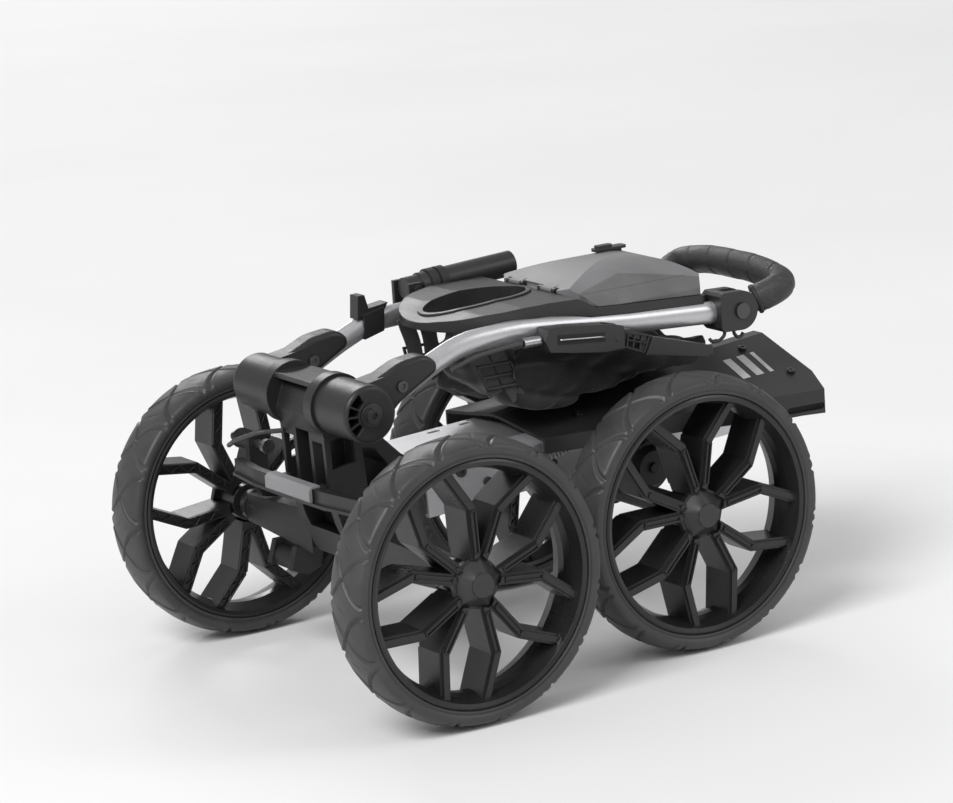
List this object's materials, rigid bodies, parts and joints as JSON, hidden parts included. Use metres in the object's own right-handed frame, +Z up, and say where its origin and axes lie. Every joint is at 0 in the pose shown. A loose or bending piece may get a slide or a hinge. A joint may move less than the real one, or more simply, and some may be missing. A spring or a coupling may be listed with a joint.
{
  "type": "folded golf push cart",
  "caption": "Folded golf push cart with kinked-spoke wheels, a fold-over frame of two arched tubes, storage console, padded handle, slung bag and a folding front axle",
  "frame": {"origin": "on the ground under the middle of the folded cart", "axes": "+X from the rear axle with the wide track to the front axle, +Y across the cart, +Z up"},
  "size_m": [0.682, 0.519, 0.3968],
  "materials": {
    "tyre": "matt moulded foam rubber",
    "wheel_plastic": "satin moulded",
    "cap_plastic": "satin",
    "steel": "turned",
    "frame_plastic": "fine-grained moulded",
    "silver_metal": "satin silver powder coat",
    "cover_paint": "satin black paint",
    "console_plastic": "fine-grained moulded",
    "lid_plastic": "satin grey with a fine diamond texture band",
    "soft_rubber": "matt",
    "cable_sheath": "smooth",
    "bar_metal": "plain",
    "grip_leather": "stitched wrap",
    "bag_fabric": "woven polyester",
    "webbing": "ribbed webbing"
  },
  "bodies": {
    "chassis": {"yoke": "frame_plastic", "rear_axle_housing": "frame_plastic", "rear_axle": "steel", "pivot_shaft": "steel", "spine_channel": "silver_metal", "spine_cover": "cover_paint", "cover_end_cap": "cover_paint", "frame_screws": "steel", "stay_spring": "steel", "cradle_bar": "frame_plastic", "cradle_pad": "soft_rubber", "brake_arm": "frame_plastic", "foot_bracket": "frame_plastic", "brake_cable_lower": "cable_sheath", "carrier_pin": "steel"},
    "upper_frame": {"knuckle_near": "frame_plastic", "knuckle_far": "frame_plastic", "frame_tube_near": "silver_metal", "frame_tube_far": "silver_metal", "knuckle_bolts": "steel", "console_base": "console_plastic", "cup_ring": "soft_rubber", "handle_clamp_near": "console_plastic", "handle_clamp_far": "console_plastic", "clamp_pins": "steel", "umbrella_bracket": "frame_plastic", "strap_hook": "frame_plastic", "brake_housing": "console_plastic", "barrel_adjuster": "steel", "brake_cable_upper": "cable_sheath", "storage_bag": "bag_fabric", "bag_straps": "webbing"},
    "lid": {"console_lid": "lid_plastic", "lid_clip": "cap_plastic"},
    "latch": {"lid_latch": "console_plastic"},
    "handle": {"handle_bar": "bar_metal", "handle_grip": "grip_leather"},
    "umbrella_holder": {"umbrella_tube": "console_plastic", "umbrella_strap": "soft_rubber"},
    "lever": {"brake_lever": "console_plastic"},
    "pin": {"brake_pin": "steel"},
    "roller": {"foot_roller": "frame_plastic"},
    "carrier": {"front_carrier": "frame_plastic", "front_axle": "steel"},
    "wheel_rear_near": {"tyre_rear_near": "tyre", "rim_rear_near": "wheel_plastic", "bearings_rear_near": "steel", "hub_cap_rear_near": "cap_plastic"},
    "wheel_rear_far": {"tyre_rear_far": "tyre", "rim_rear_far": "wheel_plastic", "bearings_rear_far": "steel", "hub_cap_rear_far": "cap_plastic"},
    "wheel_front_near": {"tyre_front_near": "tyre", "rim_front_near": "wheel_plastic", "bearings_front_near": "steel", "hub_cap_front_near": "cap_plastic"},
    "wheel_front_far": {"tyre_front_far": "tyre", "rim_front_far": "wheel_plastic", "bearings_front_far": "steel", "hub_cap_front_far": "cap_plastic"}
  },
  "joints": [
    {"name": "main_fold", "type": "hinge", "parent": "chassis", "child": "upper_frame", "pos_m": [-0.2245, 0, 0.3], "axis": [0, -1, 0], "range_deg": [0, 125]},
    {"name": "front_fold", "type": "hinge", "parent": "chassis", "child": "carrier", "pos_m": [0.25, 0, 0.207], "axis": [0, -1, 0], "range_deg": [0, 140]},
    {"name": "handle_tilt", "type": "hinge", "parent": "upper_frame", "child": "handle", "pos_m": [0.245, 0, 0.328], "axis": [0, -1, 0], "range_deg": [-25, 45]},
    {"name": "lid_hinge", "type": "hinge", "parent": "upper_frame", "child": "lid", "pos_m": [0.05, 0, 0.3725], "axis": [0, -1, 0], "range_deg": [0, 95]},
    {"name": "latch_hinge", "type": "hinge", "parent": "upper_frame", "child": "latch", "pos_m": [0.2217, 0, 0.328], "axis": [0, 1, 0], "range_deg": [0, 18], "stiffness_Nm_per_rad": 0.4},
    {"name": "umbrella_swing", "type": "hinge", "parent": "upper_frame", "child": "umbrella_holder", "pos_m": [-0.033, 0.112, 0.369], "axis": [0, -1, 0], "range_deg": [0, 88]},
    {"name": "brake_lever_hinge", "type": "hinge", "parent": "upper_frame", "child": "lever", "pos_m": [0.076, -0.11, 0.328], "axis": [0, 1, 0], "range_deg": [0, 22]},
    {"name": "brake_pin_slide", "type": "slide", "parent": "chassis", "child": "pin", "axis": [0, 1, 0], "range_m": [0, 0.01]},
    {"name": "foot_roller_spin", "type": "hinge", "parent": "chassis", "child": "roller", "pos_m": [-0.206, 0.102, 0.106], "axis": [0, 1, 0], "continuous": true},
    {"name": "spin_rear_near", "type": "hinge", "parent": "chassis", "child": "wheel_rear_near", "pos_m": [-0.195, -0.23, 0.146], "axis": [0, 1, 0], "continuous": true},
    {"name": "spin_rear_far", "type": "hinge", "parent": "chassis", "child": "wheel_rear_far", "pos_m": [-0.195, 0.23, 0.146], "axis": [0, 1, 0], "continuous": true},
    {"name": "spin_front_near", "type": "hinge", "parent": "carrier", "child": "wheel_front_near", "pos_m": [0.118, -0.175, 0.146], "axis": [0, 1, 0], "continuous": true},
    {"name": "spin_front_far", "type": "hinge", "parent": "carrier", "child": "wheel_front_far", "pos_m": [0.118, 0.175, 0.146], "axis": [0, 1, 0], "continuous": true}
  ],
  "couplings": [
    {"joint": "brake_pin_slide", "follows": "brake_lever_hinge", "m_per_rad": 0.026017}
  ]
}
